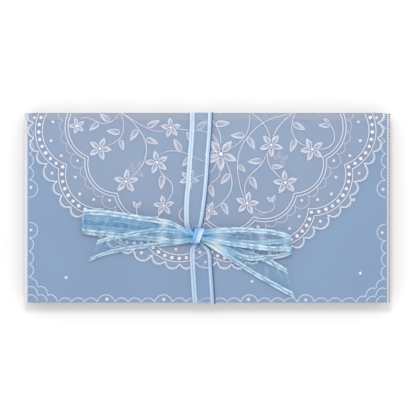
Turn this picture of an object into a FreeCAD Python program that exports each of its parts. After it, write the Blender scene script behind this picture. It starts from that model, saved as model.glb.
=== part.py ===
import FreeCAD, Part
import math
import os

# Wedding card box: a shallow card tray with a hinged lid, a parchment overlay on the lid, a lace
# parchment flap folded over the lid from the hinge edge, and a sheer ribbon tied round it in a bow.
# The box lies on its back: +Z up, +X along its length, +Y towards the hinge edge.
# The origin is the middle of the underside. All lengths are millimetres.

# ---- driving dimensions --------------------------------------------------------------------
BOX_LENGTH = 205.0        # tray, along X
BOX_DEPTH = 108.0         # tray, along Y
WALL_TOP = 10.6           # height of the tray's walls above the table
BOARD = 0.8               # box board thickness
PAPER = 0.25              # parchment thickness
GAP = 0.3                 # clearance between pieces that move apart
FINE_GAP = 0.1            # clearance between neighbouring pieces of the bow

LID_SIDE_OVERHANG = 0.3
LID_FRONT_OVERHANG = 0.4
OVERLAY_LENGTH = 210.0    # the parchment's picot edges stand out past the board at both ends
TUCK_DROP = 7.0           # how far the lid's tuck flap reaches down inside the front wall
TUCK_HALF_LENGTH = 86.0
TUCK_CLEARANCE = 0.9

CARD_LENGTH = 194.0
CARD_DEPTH = 98.0
CARD_THICKNESS = 0.6
LINER_THICKNESS = 0.2
TAB_LENGTH = 13.0
TAB_THICKNESS = 0.5

RIBBON = 0.25             # ribbon thickness
STRAP_CLEARANCE = 0.8     # the straps pass over the raised pearls

# ---- levels ----------------------------------------------------------------------------------
HALF_L = BOX_LENGTH / 2
HALF_D = BOX_DEPTH / 2
FLOOR_BOTTOM = RIBBON
FLOOR_TOP = FLOOR_BOTTOM + BOARD
LINER_TOP = FLOOR_TOP + LINER_THICKNESS
CARD_TOP = LINER_TOP + CARD_THICKNESS
LID_BOTTOM = WALL_TOP + GAP
LID_TOP = LID_BOTTOM + BOARD
OVERLAY_TOP = LID_TOP + PAPER
FLAP_BOTTOM = OVERLAY_TOP + GAP
FLAP_TOP = FLAP_BOTTOM + PAPER
STRAP_BOTTOM = FLAP_TOP + STRAP_CLEARANCE
STRAP_TOP = STRAP_BOTTOM + RIBBON
LID_FRONT = -HALF_D - LID_FRONT_OVERHANG
HINGE_Y = HALF_D

# ---- lace flap: four lobes each side of a middle line, symmetric in u = |x - FLAP_MIDDLE| ------
FLAP_MIDDLE = -1.0
PEARLS_PER_LOBE = 8
CUSP_REACH = 3.5          # from the row of pearls out to the cusps between scallops
SCALLOP_REACH = 6.2       # from the row of pearls out to the middle of a scallop
CORNER_REACH = 11.6       # from a corner pearl out to the tip of its corner scallop
SCALLOPS_PER_LOBE = 3
FIRST_PEARL_ANGLE = 19.4
FLAP_TOP_CORNER = (102.0, HINGE_Y)
FLAP_TOP_BULGE = (101.4, 50.4)
# centre u, centre y, radius of the pearl row, angle of the first cusp, angle between cusps
LOBES = [
    (73.0, 44.2, 22.6, 9.7, -18.8),
    (60.5, 19.2, 21.8, -9.0, -19.6),
    (39.5, 1.0, 21.4, -27.5, -19.7),
    (15.0, -7.7, 21.3, -50.5, -19.8),
]

# ---- pearls: pairs (u, y) on the flap, places (x, y) on the lid's overlay -----------------------
PEARL_RADIUS = 1.2
PEARL_HEIGHT = 0.7
STAR_RADIUS = 0.85
STAR_HEIGHT = 0.5
FLAP_STARS = [
    (98.0, 51.6), (87.5, 49.2), (88.6, 38.4), (82.7, 29.8), (74.7, 17.5), (72.1, 7.9),
    (64.1, 4.6), (53.5, -5.0), (48.0, -12.0), (17.0, -23.7),
    (73.4, 27.0), (55.1, 4.2), (30.0, -11.0),
    (87.9, 19.8), (65.7, -7.8), (36.7, -25.8), (0.0, -31.2),
]
LID_STARS = [
    (-101.1, 11.7), (-101.1, -12.8), (100.7, 10.6), (100.2, -14.3),
    (-57.6, -52.4), (-25.0, -52.6), (23.5, -52.6), (56.4, -52.8),
    (-81.0, -40.0), (25.6, -42.1), (87.7, -37.5), (83.8, 4.6),
]

# ---- ribbon: outlines in plan --------------------------------------------------------------------
STRAP_UPPER = [(-10.1, HINGE_Y), (-11.1, 30.0), (-13.5, 1.6), (-12.6, -11.4),
               (-3.0, -11.4), (-1.7, 1.6), (1.5, 30.0), (2.7, HINGE_Y)]
STRAP_FRONT_EDGE = LID_FRONT - GAP
STRAP_LOWER = [(-8.2, -20.6), (-10.0, -26.0), (-9.5, -40.0), (-8.3, STRAP_FRONT_EDGE),
               (4.4, STRAP_FRONT_EDGE), (3.2, -40.0), (2.2, -27.0), (-2.6, -20.6)]
STRAP_AT_FRONT = (-8.3, 4.4)
STRAP_AT_HINGE = (-10.1, 2.7)
STRAP_LIP = 2.0           # how far the strap turns down over the lid's front edge

KNOT_X = (-9.5, -1.5)
KNOT_Y = (-20.5, -11.5)
KNOT_HEIGHT = 4.6
KNOT_ROUNDING = 2.0
LOOP_RISE = 0.7           # lower ply of a loop above the strap's top at the knot
LOOP_HEIGHT = 4.4
LOOP_WALL = 0.35
LOOP_ROOT = 0.8           # a loop's thickness where it leaves the knot
LOOP_ROOT_INSET = 4.0     # the hollow starts this many walls away from the knot
LOOP_LIFT_AT = 0.3        # share of the loop's length over which it opens
LOOP_LIFT_SHARE = 0.8     # share of its full height reached there
LOOP_FOLDS = (-71.6, 47.6)
LOOP_LEFT = [(-9.6, -12.6), (-28.0, -6.6), (-70.5, -0.4), (-71.6, -14.6), (-40.0, -17.4), (-9.6, -19.4)]
LOOP_RIGHT = [(-1.4, -12.0), (18.0, -11.0), (45.5, -14.2), (47.6, -19.5), (46.0, -27.6),
              (17.0, -29.6), (9.0, -23.2), (-1.4, -18.8)]
TAIL_LEFT = [(-9.6, -13.4), (-30.0, -14.2), (-62.5, -18.2), (-68.5, -31.0), (-50.0, -25.6), (-9.6, -19.8)]
TAIL_RIGHT = [(-1.4, -17.4), (20.0, -22.5), (33.0, -29.3), (45.5, -35.6), (49.6, -51.0),
              (20.0, -33.8), (-1.4, -20.2)]


# ---- helpers ---------------------------------------------------------------------------------------
def vector(x, y, z=0.0):
    return FreeCAD.Vector(x, y, z)


def block(x, y, z):
    """A box between two limits on each axis."""
    return Part.makeBox(x[1] - x[0], y[1] - y[0], z[1] - z[0], vector(x[0], y[0], z[0]))


def slab(outline, bottom, thickness):
    """A flat sheet from a straight-sided outline in plan."""
    points = [vector(x, y, bottom) for x, y in outline]
    wire = Part.makePolygon(points + points[:1])
    return Part.Face(wire).extrude(vector(0, 0, thickness))


def dome(x, y, bottom, radius, height):
    """A raised drop: a slice of a sphere standing on its flat side."""
    sphere_radius = (radius ** 2 + height ** 2) / (2 * height)
    cut_angle = math.degrees(math.asin((sphere_radius - height) / sphere_radius))
    centre = vector(x, y, bottom - sphere_radius + height)
    return Part.makeSphere(sphere_radius, centre, vector(0, 0, 1), cut_angle, 90)


def around(centre, radius, degrees):
    """The point at an angle from +u on a circle."""
    angle = math.radians(degrees)
    return (centre[0] + radius * math.cos(angle), centre[1] + radius * math.sin(angle))


def angle_to(centre, point):
    return math.degrees(math.atan2(point[1] - centre[1], point[0] - centre[0]))


def outer_crossing(lobe, following):
    """Where two neighbouring lobes' pearl rows cross on the side away from the flap's middle."""
    dx, dy = following[0] - lobe[0], following[1] - lobe[1]
    distance = math.hypot(dx, dy)
    along = (distance ** 2 + lobe[2] ** 2 - following[2] ** 2) / (2 * distance)
    across = math.sqrt(lobe[2] ** 2 - along ** 2)
    ex, ey = dx / distance, dy / distance
    return (lobe[0] + along * ex - across * ey, lobe[1] + along * ey + across * ex)


def lobe_corners():
    """Corner pearls: the crossings of neighbouring lobes, the last one on the middle line."""
    mirrored = (-LOBES[-1][0],) + LOBES[-1][1:]
    following = LOBES[1:] + [mirrored]
    return [outer_crossing(lobe, other) for lobe, other in zip(LOBES, following)]


def corner_tips():
    """Tips of the corner scallops, straight out from each corner pearl."""
    tips = []
    centres = [lobe[:2] for lobe in LOBES] + [(-LOBES[-1][0], LOBES[-1][1])]
    for i, corner in enumerate(lobe_corners()):
        middle = ((centres[i][0] + centres[i + 1][0]) / 2, (centres[i][1] + centres[i + 1][1]) / 2)
        reach = math.hypot(corner[0] - middle[0], corner[1] - middle[1])
        scale = 1 + CORNER_REACH / reach
        tips.append((middle[0] + (corner[0] - middle[0]) * scale, middle[1] + (corner[1] - middle[1]) * scale))
    return tips


def half_outline():
    """Arcs of the flap's edge on the +u side, from the hinge edge to the tip on the middle line."""
    arcs = []
    start = FLAP_TOP_CORNER
    bulge = FLAP_TOP_BULGE
    for lobe, tip in zip(LOBES, corner_tips()):
        centre, row, first, step = lobe[:2], lobe[2], lobe[3], lobe[4]
        cusp = around(centre, row + CUSP_REACH, first)
        arcs.append((start, bulge, cusp))
        for n in range(SCALLOPS_PER_LOBE):
            middle = around(centre, row + SCALLOP_REACH, first + step * (n + 0.5))
            end = around(centre, row + CUSP_REACH, first + step * (n + 1))
            arcs.append((cusp, middle, end))
            cusp = end
        start, bulge = cusp, tip
    return arcs, start, bulge


def flap_outline():
    """The closed scalloped edge: both halves, the middle corner scallop and the hinge edge."""
    arcs, last_cusp, tip = half_outline()
    edges = []
    for side in (1, -1):
        for three in arcs:
            a, b, c = [vector(FLAP_MIDDLE + side * u, y, FLAP_BOTTOM) for u, y in three]
            edges.append(Part.Arc(a, b, c).toShape())
    left, right = [vector(FLAP_MIDDLE + side * last_cusp[0], last_cusp[1], FLAP_BOTTOM) for side in (-1, 1)]
    edges.append(Part.Arc(left, vector(FLAP_MIDDLE, tip[1], FLAP_BOTTOM), right).toShape())
    u, y = FLAP_TOP_CORNER
    edges.append(Part.makeLine(vector(FLAP_MIDDLE - u, y, FLAP_BOTTOM), vector(FLAP_MIDDLE + u, y, FLAP_BOTTOM)))
    return Part.Wire(Part.__sortEdges__(edges))


def channel_places():
    """(u, y) of every pearl in the channel on the +u side, with the last one on the middle line."""
    corners = lobe_corners()
    places = []
    for i, lobe in enumerate(LOBES):
        centre, row = lobe[:2], lobe[2]
        end = angle_to(centre, corners[i])
        start = FIRST_PEARL_ANGLE if i == 0 else angle_to(centre, corners[i - 1])
        first = 0 if i == 0 else 1
        steps = PEARLS_PER_LOBE + first
        for n in range(first, steps):
            places.append(around(centre, row, start + (end - start) * n / steps))
        places.append(corners[i])
    return places


def mirrored_places(places):
    """(x, y) of both halves, with a pearl on the middle line made once."""
    both = []
    for u, y in places:
        both.append((FLAP_MIDDLE + u, y))
        if u > PEARL_RADIUS:
            both.append((FLAP_MIDDLE - u, y))
    return both


def drops(places, bottom, radius, height):
    return Part.makeCompound([dome(x, y, bottom, radius, height) for x, y in places])


def drop_face(root_x, far_x, inset):
    """Drop-shaped outline in the XZ plane: pinched at the knot and round at the far end."""
    toward = math.copysign(1, far_x - root_x)
    middle = STRAP_TOP + LOOP_RISE + LOOP_HEIGHT / 2
    radius = LOOP_HEIGHT / 2 - inset
    root = root_x + toward * inset * LOOP_ROOT_INSET
    lift = root_x + (far_x - root_x) * LOOP_LIFT_AT
    round_x = far_x - toward * LOOP_HEIGHT / 2
    half_root = (LOOP_ROOT - inset) / 2

    def at(x, height):
        return vector(x, -HALF_D, middle + height)

    straight = [at(round_x, -radius), at(lift, -radius * LOOP_LIFT_SHARE), at(root, -half_root),
                at(root, half_root), at(lift, radius * LOOP_LIFT_SHARE), at(round_x, radius)]
    sides = Part.makePolygon(straight).Edges
    fold = Part.Arc(at(round_x, radius), at(round_x + toward * radius, 0), at(round_x, -radius)).toShape()
    return Part.Face(Part.Wire(sides + [fold]))


def bow_loop(outline, root_x, far_x):
    """A band of ribbon that leaves the knot, folds back at its far end and returns."""
    across = vector(0, 2 * HALF_D, 0)
    outer = drop_face(root_x, far_x, 0).extrude(across)
    ring = outer.cut(drop_face(root_x, far_x, LOOP_WALL).extrude(across))
    plan = slab(outline, STRAP_TOP, LOOP_RISE + LOOP_HEIGHT + 1)
    return ring.common(plan)


# ---- pieces -----------------------------------------------------------------------------------------
def tray():
    inner_l = HALF_L - BOARD
    inner_d = HALF_D - BOARD
    walls = (FLOOR_TOP, WALL_TOP)
    full_l = (-HALF_L, HALF_L)
    pieces = {
        "base_panel": block(full_l, (-HALF_D, HALF_D), (FLOOR_BOTTOM, FLOOR_TOP)),
        "front_wall": block(full_l, (-HALF_D, -inner_d), walls),
        "back_wall": block(full_l, (inner_d, HALF_D), walls),
        "left_wall": block((-HALF_L, -inner_l), (-inner_d, inner_d), walls),
        "right_wall": block((inner_l, HALF_L), (-inner_d, inner_d), walls),
        "tray_liner": block((-CARD_LENGTH / 2 - 2, CARD_LENGTH / 2 + 2),
                            (-CARD_DEPTH / 2 - 2, CARD_DEPTH / 2 + 2), (FLOOR_TOP, LINER_TOP)),
    }
    for side_name, side in (("left", -1), ("right", 1)):
        for end_name, end in (("front", -1), ("back", 1)):
            x = sorted((side * inner_l, side * (inner_l - TAB_LENGTH)))
            y = sorted((end * inner_d, end * (inner_d - TAB_THICKNESS)))
            z = (FLOOR_TOP + GAP, WALL_TOP - GAP)
            pieces["glue_tab_%s_%s" % (end_name, side_name)] = block(x, y, z)
    return pieces


def card():
    x = (-CARD_LENGTH / 2, CARD_LENGTH / 2)
    y = (-CARD_DEPTH / 2, CARD_DEPTH / 2)
    frame_inset = 6.0
    overlay_x = (x[0] + frame_inset, x[1] - frame_inset)
    overlay_y = (y[0] + frame_inset, y[1] - frame_inset)
    return {
        "wedding_card": block(x, y, (LINER_TOP, CARD_TOP)),
        "card_overlay": block(overlay_x, overlay_y, (CARD_TOP, CARD_TOP + PAPER)),
    }


def lid():
    half_l = HALF_L + LID_SIDE_OVERHANG
    tuck_front = -HALF_D + BOARD + TUCK_CLEARANCE
    board = block((-half_l, half_l), (LID_FRONT, HINGE_Y), (LID_BOTTOM, LID_TOP))
    overlay = block((-OVERLAY_LENGTH / 2, OVERLAY_LENGTH / 2), (LID_FRONT, HINGE_Y), (LID_TOP, OVERLAY_TOP))
    tuck = block((-TUCK_HALF_LENGTH, TUCK_HALF_LENGTH), (tuck_front, tuck_front + BOARD),
                 (LID_BOTTOM - TUCK_DROP, LID_BOTTOM))
    return {
        "lid_board": board,
        "lid_overlay": overlay,
        "lid_tuck_flap": tuck,
        "lid_star_pearls": drops(LID_STARS, OVERLAY_TOP, STAR_RADIUS, STAR_HEIGHT),
    }


def lace_flap():
    sheet = Part.Face(flap_outline()).extrude(vector(0, 0, PAPER))
    return {
        "flap_sheet": sheet,
        "channel_pearls": drops(mirrored_places(channel_places()), FLAP_TOP, PEARL_RADIUS, PEARL_HEIGHT),
        "flap_star_pearls": drops(mirrored_places(FLAP_STARS), FLAP_TOP, STAR_RADIUS, STAR_HEIGHT),
    }


def hinge_strip():
    """The parchment's glued margin, down the outside of the back wall."""
    half_l = HALF_L - 2
    return {"flap_glue_strip": block((-half_l, half_l), (HALF_D, HALF_D + PAPER),
                                     (FLOOR_BOTTOM, WALL_TOP - GAP))}


def ribbon_round_tray():
    """The ribbon's run under the box and up its front and back walls."""
    front = -HALF_D - RIBBON
    back = HALF_D + PAPER + RIBBON
    under = [(STRAP_AT_FRONT[0], front), (STRAP_AT_FRONT[1], front), (STRAP_AT_HINGE[1], back),
             (STRAP_AT_HINGE[0], back)]
    return {
        "ribbon_back_run": slab(under, 0, RIBBON),
        "ribbon_front_wall_run": block(STRAP_AT_FRONT, (front, -HALF_D), (RIBBON, WALL_TOP)),
        "ribbon_back_wall_run": block(STRAP_AT_HINGE, (HALF_D + PAPER, back), (RIBBON, WALL_TOP - GAP)),
    }


def ribbon_front():
    lower = slab(STRAP_LOWER, STRAP_BOTTOM, RIBBON)
    lip = block(STRAP_AT_FRONT, (STRAP_FRONT_EDGE - RIBBON, STRAP_FRONT_EDGE), (STRAP_TOP - STRAP_LIP, STRAP_TOP))
    knot = block(KNOT_X, KNOT_Y, (STRAP_BOTTOM, STRAP_BOTTOM + KNOT_HEIGHT))
    return {
        "ribbon_strap_upper": slab(STRAP_UPPER, STRAP_BOTTOM, RIBBON),
        "ribbon_strap_lower": lower.fuse(lip).removeSplitter(),
        "bow_knot": knot.makeFillet(KNOT_ROUNDING, knot.Edges),
        "bow_loop_left": bow_loop(LOOP_LEFT, KNOT_X[0] - FINE_GAP, LOOP_FOLDS[0]),
        "bow_loop_right": bow_loop(LOOP_RIGHT, KNOT_X[1] + FINE_GAP, LOOP_FOLDS[1]),
        "bow_tail_left": slab(TAIL_LEFT, STRAP_TOP + FINE_GAP, RIBBON),
        "bow_tail_right": slab(TAIL_RIGHT, STRAP_TOP + FINE_GAP, RIBBON),
    }


def main():
    os.makedirs("parts", exist_ok=True)
    for group in (tray, card, hinge_strip, ribbon_round_tray, lid, lace_flap, ribbon_front):
        for name, shape in group().items():
            shape.exportStep("parts/%s.step" % name)
            print(name, len(shape.Solids), shape.isValid(), round(shape.Volume, 1))


main()
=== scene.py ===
import math
import bpy
import bmesh
import numpy as np
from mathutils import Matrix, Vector
from mathutils.geometry import delaunay_2d_cdt


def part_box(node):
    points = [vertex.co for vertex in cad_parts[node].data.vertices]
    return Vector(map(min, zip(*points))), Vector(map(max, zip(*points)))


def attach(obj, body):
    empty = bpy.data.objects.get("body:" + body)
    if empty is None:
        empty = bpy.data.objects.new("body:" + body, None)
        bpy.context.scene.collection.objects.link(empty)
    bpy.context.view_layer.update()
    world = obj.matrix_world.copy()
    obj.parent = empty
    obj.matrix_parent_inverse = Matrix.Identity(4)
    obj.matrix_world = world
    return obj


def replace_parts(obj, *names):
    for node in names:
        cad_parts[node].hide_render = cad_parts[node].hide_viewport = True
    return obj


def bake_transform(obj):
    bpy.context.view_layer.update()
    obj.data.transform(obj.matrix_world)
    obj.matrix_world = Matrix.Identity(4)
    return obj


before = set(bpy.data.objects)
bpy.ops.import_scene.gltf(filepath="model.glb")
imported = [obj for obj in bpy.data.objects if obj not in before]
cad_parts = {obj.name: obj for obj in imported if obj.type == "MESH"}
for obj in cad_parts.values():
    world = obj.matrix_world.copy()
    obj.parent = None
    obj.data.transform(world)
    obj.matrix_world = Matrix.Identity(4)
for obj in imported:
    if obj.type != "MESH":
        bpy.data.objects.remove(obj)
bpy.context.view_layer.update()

# Wedding card box, closed, lying on its back. Lengths in this file are millimetres, and meshes are
# scaled to metres when they are made. u is the distance from the lace flap's middle line.
MM = 0.001


# ---- the frame's levels and edges, in millimetres -------------------------------------------------
def node_box(node):
    low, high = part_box(node)
    return np.array(low) / MM, np.array(high) / MM


OVERLAY_LOW, OVERLAY_HIGH = node_box("lid_overlay")
FLAP_LOW, FLAP_HIGH = node_box("flap_sheet")
BOARD_LOW, BOARD_HIGH = node_box("lid_board")
WALL_LOW, WALL_HIGH = node_box("back_wall")
STRAP_LOW, STRAP_HIGH = node_box("ribbon_strap_upper")
OVERLAY_TOP = OVERLAY_HIGH[2]
FLAP_TOP = FLAP_HIGH[2]
HINGE_Y = FLAP_HIGH[1]
FRONT_Y = OVERLAY_LOW[1]
PAPER = FLAP_HIGH[2] - FLAP_LOW[2]

# ---- lace flap: lobes as (centre u, centre y, radius, first cusp angle, angle between cusps) -------
FLAP_MIDDLE = -1.0
OUTER_LOBES = [(73.0, 44.2, 22.6, 9.7, -18.8), (60.5, 19.2, 21.8, -9.0, -19.6),
               (39.5, 1.0, 21.4, -27.5, -19.7), (15.0, -7.7, 21.3, -50.5, -19.8)]
INNER_LOBES = [(60.5, 46.2, 18.3, 11.5, -19.2), (50.5, 25.3, 17.0, -4.3, -20.9),
               (33.5, 11.0, 17.3, -29.0, -19.8), (13.5, 4.5, 17.0, -50.0, -20.0)]
SCALLOPS = 3
EDGE_SCALLOPS = dict(cusp=4.1, bulge=7.3, corner=12.65, top=(103.0, 102.4, 49.8))
EDGE_LINE = dict(cusp=3.05, bulge=5.95, corner=11.3, top=(101.7, 101.1, 50.3))
HANGING_LINE = dict(cusp=2.5, bulge=5.0, corner=10.4, top=(84.4, 84.3, 52.2))
CHANNEL_HALF_WIDTH = 2.0
INNER_LINE_GAP = 1.75
SIDE_PICOT_PITCH = 1.27
SIDE_PICOT_DEPTH = 0.5
PICOT_PITCH = 1.4
PICOT_DEPTH = 0.85
TOOTH_SAMPLES = 6

# ---- vine: flowers as (x, y, petal tips' angles, petal length) --------------------------------------
FLOWERS = [
    (-74.7, 46.9, (103, 30, -40, -107, 180), 4.6),
    (-61.6, 33.9, (66, -6, -72, -147, 145), 6.6),
    (-46.6, 15.0, (85, 12, -52, -133, 163), 7.0),
    (-21.0, 45.9, (95, 15, -51, -112, 170), 5.7),
    (-28.9, 26.0, (100, 27, -37, -112, 179), 6.7),
    (-25.0, 1.2, (100, 18, -52, -122, 172), 5.9),
    (-10.4, 16.4, (136, 199, 278, 350, 64), 5.6),
    (7.8, 30.8, (128, 51, -23, -90, -150, 182), 9.4),
    (36.6, 36.0, (130, 52, -17, -88, -160), 6.8),
    (60.2, 33.5, (120, 34, -40, -111, 187), 6.9),
    (44.7, 14.4, (97, 18, -43, -121, 175), 6.9),
    (22.8, 2.5, (80, 4, -63, -137, 156), 6.7),
    (0.9, -1.6, (66, -24, -100, -165, 130), 5.3),
]
# leaves as base x, y and tip x, y
LEAVES = [
    (-56.3, 49.6, -61.6, 53.8), (-62.4, 48.6, -67.6, 44.4), (-50.2, 43.2, -57.6, 44.0),
    (-49.8, 38.9, -48.2, 33.0), (-40.3, 44.7, -44.2, 38.4), (-34.2, 46.6, -27.5, 50.0),
    (-34.9, 39.5, -28.3, 36.7), (-15.3, 32.8, -19.2, 39.4), (-9.6, 29.2, -14.3, 23.8),
    (-25.8, 18.2, -26.5, 10.6), (-9.2, 38.4, -11.8, 43.6), (-6.0, 45.4, 0.2, 49.8),
    (5.0, 48.0, 12.8, 48.6), (21.0, 41.4, 13.4, 41.4), (23.5, 40.0, 27.1, 33.6),
    (30.9, 26.8, 23.2, 26.3), (18.1, 24.4, 21.9, 20.6), (24.8, 17.4, 28.3, 10.8),
    (37.2, 23.6, 43.2, 23.4), (50.4, 38.9, 47.6, 32.0), (49.4, 48.1, 56.1, 44.7),
    (12.4, 19.2, 7.8, 13.6), (1.4, 12.8, 3.5, 6.2), (8.8, 2.7, 11.8, -3.9),
    (69.8, 47.0, 63.8, 47.3),
    (-40.3, 0.2, -42.6, 3.8), (-40.3, 0.2, -38.1, 3.5), (37.4, 3.6, 34.0, 6.0), (37.4, 3.6, 38.6, 7.2),
    (69.4, 49.6, 66.4, 50.9),
]
STEMS = [
    [(-50.4, 54.3), (-52.3, 51.6), (-55, 49.4), (-58.5, 48.2), (-62, 48.8), (-66, 50.6), (-70, 51.7),
     (-73.2, 50.4)],
    [(-50, 54.3), (-48.4, 50), (-48.1, 46), (-48.9, 42), (-51.2, 38.8), (-55, 36.4), (-59, 34.8)],
    [(-49.4, 54.3), (-44, 50.6), (-40.2, 46), (-37, 41.4), (-35.3, 37), (-35, 32), (-35.8, 28),
     (-37.5, 24), (-40, 21), (-43.6, 17.6)],
    [(-48.8, 54.3), (-44, 51.2), (-39, 48), (-34, 45.4), (-29.6, 43.9), (-26, 43.9), (-23, 45)],
    [(-18.4, 45.6), (-14, 44.8), (-9, 44.6), (-3, 44), (2.6, 42.2), (6.6, 38)],
    [(-27, 30.2), (-24.2, 31.9), (-20, 32.6), (-15, 32.1), (-11, 30.6), (-7, 28.6), (-2, 26.7), (4, 26.6)],
    [(-27.8, 23.4), (-26, 19.6), (-23.4, 17), (-21, 14.8), (-19.9, 12), (-20, 9), (-21.2, 6.2), (-23, 3.6)],
    [(-26.4, -1.2), (-27.6, -4.2), (-30, -5.4), (-34, -5.6)],
    [(-13.4, 0.6), (-15.4, -1.4), (-16.1, -4), (-15, -7), (-11.5, -9)],
    [(24.4, 54.3), (24.2, 50), (23.7, 46), (22.2, 42), (19, 38), (15, 35), (11, 33)],
    [(25.4, 54.3), (30, 50.6), (33.4, 46.6), (35.4, 42), (36.2, 38.4)],
    [(48, 54.3), (43, 53), (38, 51.5), (33, 49.3), (28.3, 46), (24.5, 42), (21, 37.6), (18.9, 33.4),
     (17.7, 29), (17.3, 24), (17.6, 19), (18.4, 14.2), (19.5, 10), (21.4, 5)],
    [(49, 54.3), (44.6, 50.6), (41, 46.6), (38.6, 42.8), (37.2, 39)],
    [(50.2, 54.3), (48.8, 50), (48.3, 46), (48.9, 42.6), (50.6, 39.4), (53.6, 36.6), (58, 34.8)],
    [(35.6, 33.6), (34, 30.6), (31.4, 25.6), (28, 22), (24.5, 18.6), (22.3, 15), (21.3, 11), (22, 6)],
    [(34.4, 31), (34.8, 26.6), (36.4, 23), (39, 20), (42.6, 16.4)],
    [(10.4, 27.4), (12.8, 21), (14, 16), (13.8, 11.4), (12, 7), (9, 3.4), (5.4, 0.6), (2.4, -1)],
    [(7.4, 22.6), (6.8, 18.2), (4.6, 15.8), (2.2, 14.2), (0.8, 11.6)],
    [(2.6, 50.4), (5.6, 46.2), (7.3, 41.6), (7.9, 36)],
    [(2.6, 41), (5.4, 38), (7.2, 34.6)],
    [(5.8, 27), (3.6, 22.4), (0.6, 20), (-3.6, 18.4), (-8, 17.2)],
    [(69.4, 49.6), (70.6, 47.2), (72.2, 44.4), (72.9, 41), (72.3, 37.8), (70.4, 35.4), (67.4, 33.9),
     (63, 33.6)],
    [(37.4, 3.6), (38.4, 1.6), (38, -0.6), (35.8, -2.2), (32.8, -2.8), (29.8, -2), (26.4, 0.4)],
    [(-40.3, 0.2), (-40.6, -2.4), (-39.8, -5)],
]
# sprigs on the layer below, which show faintly through the flap
SPRIGS = [(-40.6, 21.8, (134, 178, -48, 62, -108), 5.6), (41.8, 27.6, (150, 95, 20, -60), 5.0),
          (30.4, -5.0, (100, 160, 40), 4.6)]
# stems that catch the light a little pinker
PINK_STEMS = (0, 1, 3, 5, 9, 17, 22)

# ---- embossed border on the lid's overlay --------------------------------------------------------------
BORDER_X = 102.2
SIDE_SMALL = (53.2, 45.6, 38.2, 31.0, 23.3, 15.9)
SIDE_BIG = (15.9, 6.0)
SIDE_LOW_BIG = {-1: (-8.4, -17.2), 1: (-9.5, -18.9)}
SIDE_LOW = {-1: (-17.2, -25.0, -32.3, -39.4), 1: (-18.9, -26.1, -33.3, -41.0)}
FRONT_SPANS = [(-85.2, -63.2, 3), (-63.2, -53.0, 1), (-53.0, -30.2, 3), (-30.2, -20.0, 1), (-20.0, 19.2, 5),
               (19.2, 29.0, 1), (29.0, 51.6, 3), (51.6, 61.2, 1), (61.2, 85.2, 3)]
SMALL_BULGE = 2.5
BIG_BULGE = 4.9
BORDER_LINE = 0.62
# a fish scale's outline from its left end, and where the scales of the two corners start
FISH_SCALE = [(0.0, 4.2), (2.1, 4.6), (4.1, 3.6), (5.2, 2.0), (5.7, 0.0)]
TOP_SCALE = [(1.0, 5.4), (4.1, 3.6), (5.2, 2.0), (5.4, 0.0)]
SCALE_PITCH = (5.65, 4.7)
SCALE_START = {-1: (-103.0, -54.4), 1: (102.2, -55.3)}

# ---- ribbon -------------------------------------------------------------------------------------------
RIBBON_WIDTH = 13.0
SATIN_WIDTH = 2.7
RIBBON_PICOT_PITCH = 1.17
WARP_PITCH = 0.62
WEFT_PITCH = 0.58
DEEPEST_PLEAT = 1.1
# the most of a gathered ribbon's width that one satin edge takes up, and what it takes where it is hidden
WIDEST_EDGE = 0.38
HIDDEN_EDGE = 0.02


# ---- geometry helpers -------------------------------------------------------------------------------
def smooth_step(value):
    t = np.clip(value, 0.0, 1.0)
    return t * t * (3 - 2 * t)


def with_ends(points):
    """The points, and one more past each end."""
    return np.vstack([2 * points[0] - points[1], points, 2 * points[-1] - points[-2]])


def catmull_rom(a, b, c, d, t):
    """The point a share t of the way from b to c."""
    return 0.5 * (2 * b + (c - a) * t + (2 * a - 5 * b + 4 * c - d) * t ** 2
                  + (3 * b - a - 3 * c + d) * t ** 3)


def spline(points, step=0.6):
    """A Catmull-Rom line through the points, sampled about every step."""
    p = np.array(points, float)
    if len(p) == 2:
        count = max(2, int(np.linalg.norm(p[1] - p[0]) / step) + 1)
        return p[0] + (p[1] - p[0]) * np.linspace(0, 1, count)[:, None]
    padded = with_ends(p)
    out = []
    for a, b, c, d in zip(padded, padded[1:], padded[2:], padded[3:]):
        count = max(1, int(round(np.linalg.norm(c - b) / step)))
        out.extend(catmull_rom(a, b, c, d, t) for t in np.arange(count) / count)
    out.append(p[-1])
    return np.array(out)


def even_spline(points, count):
    """The same line with a fixed number of samples, evenly spread over the points given."""
    p = np.array(points, float)
    padded = with_ends(p)
    out = []
    for place in np.linspace(0, len(p) - 1, count):
        i = min(int(place), len(p) - 2)
        out.append(catmull_rom(*padded[i:i + 4], place - i))
    return np.array(out)


def distance_along(line):
    """How far along the line each of its points is."""
    return np.concatenate([[0], np.cumsum(np.linalg.norm(np.diff(line, axis=0), axis=1))])


def unit_rows(vectors):
    return vectors / np.maximum(np.linalg.norm(vectors, axis=1), 1e-9)[:, None]


def right_of(directions):
    """Each flat direction turned a quarter to the right."""
    return np.stack([directions[:, 1], -directions[:, 0]], 1)


def polar(centre, radius, degrees):
    angle = math.radians(degrees)
    return np.array([centre[0] + radius * math.cos(angle), centre[1] + radius * math.sin(angle)])


def arc_through(a, b, c, step=0.5):
    """Points on the circle arc from a through b to c."""
    a, b, c = (np.array(p, float) for p in (a, b, c))
    matrix = 2 * np.array([b - a, c - a])
    right = np.array([b @ b - a @ a, c @ c - a @ a])
    centre = np.linalg.solve(matrix, right)
    radius = np.linalg.norm(a - centre)
    angles = [math.atan2(*(p - centre)[::-1]) for p in (a, b, c)]
    turn = (angles[2] - angles[0]) % (2 * math.pi)
    if (angles[1] - angles[0]) % (2 * math.pi) > turn:
        turn -= 2 * math.pi
    count = max(4, int(abs(turn) * radius / step) + 1)
    swept = angles[0] + turn * np.linspace(0, 1, count)
    return centre + radius * np.stack([np.cos(swept), np.sin(swept)], 1)


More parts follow.
